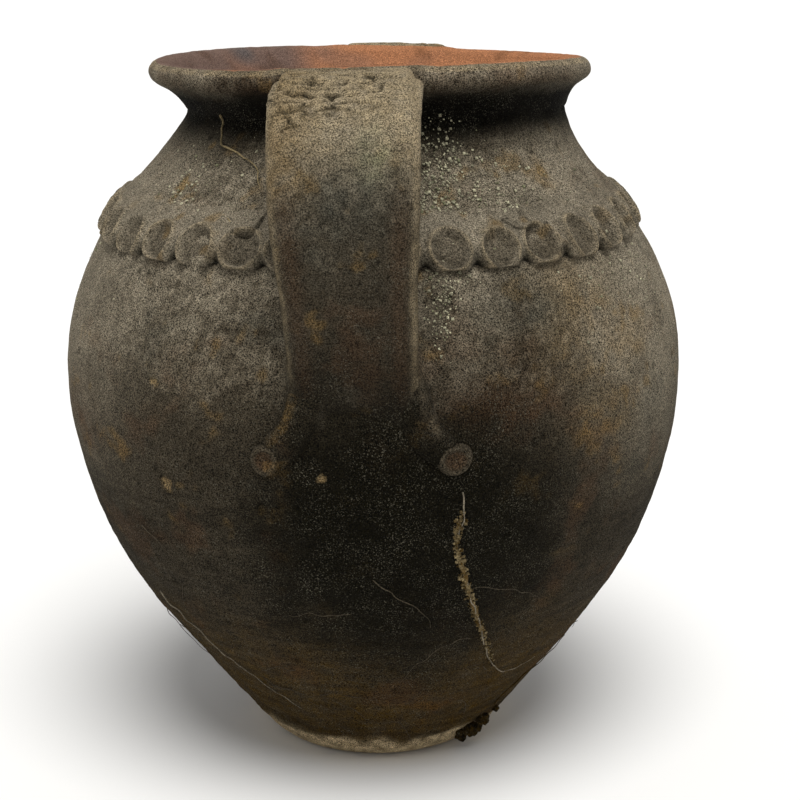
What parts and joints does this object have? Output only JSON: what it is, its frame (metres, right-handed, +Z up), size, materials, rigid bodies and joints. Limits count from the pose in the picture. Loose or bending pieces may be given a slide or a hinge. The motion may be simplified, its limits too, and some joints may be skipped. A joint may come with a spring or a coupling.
{
  "type": "clay storage pot",
  "caption": "Hand-built round clay pot with a flared rim, a thumb-pressed band around the shoulder and two strap handles from rim to belly.",
  "frame": {"origin": "centre of the flat underside, on the surface that the pot stands on", "axes": "+Z up along the pot's axis; the two handles lie on -Y (front) and +Y (back)"},
  "size_m": [0.338, 0.3742, 0.3819],
  "materials": {
    "smoked_clay": "matte",
    "dusty_clay": "matte",
    "bare_clay": "matte",
    "dried_mud": "matte"
  },
  "bodies": {
    "root": {"base_slab": "bare_clay", "lower_wall": "smoked_clay", "belly_wall": "smoked_clay", "shoulder_wall": "smoked_clay", "neck_wall": "smoked_clay", "rim_coil": "smoked_clay", "thumbed_band_left": "dusty_clay", "thumbed_band_right": "dusty_clay", "handle_front": "dusty_clay", "handle_back": "dusty_clay", "root_coil_front_left": "smoked_clay", "pellet_front_left": "smoked_clay", "root_coil_front_right": "smoked_clay", "pellet_front_right": "smoked_clay", "root_coil_back_left": "smoked_clay", "pellet_back_left": "smoked_clay", "root_coil_back_right": "smoked_clay", "pellet_back_right": "smoked_clay"}
  },
  "joints": []
}
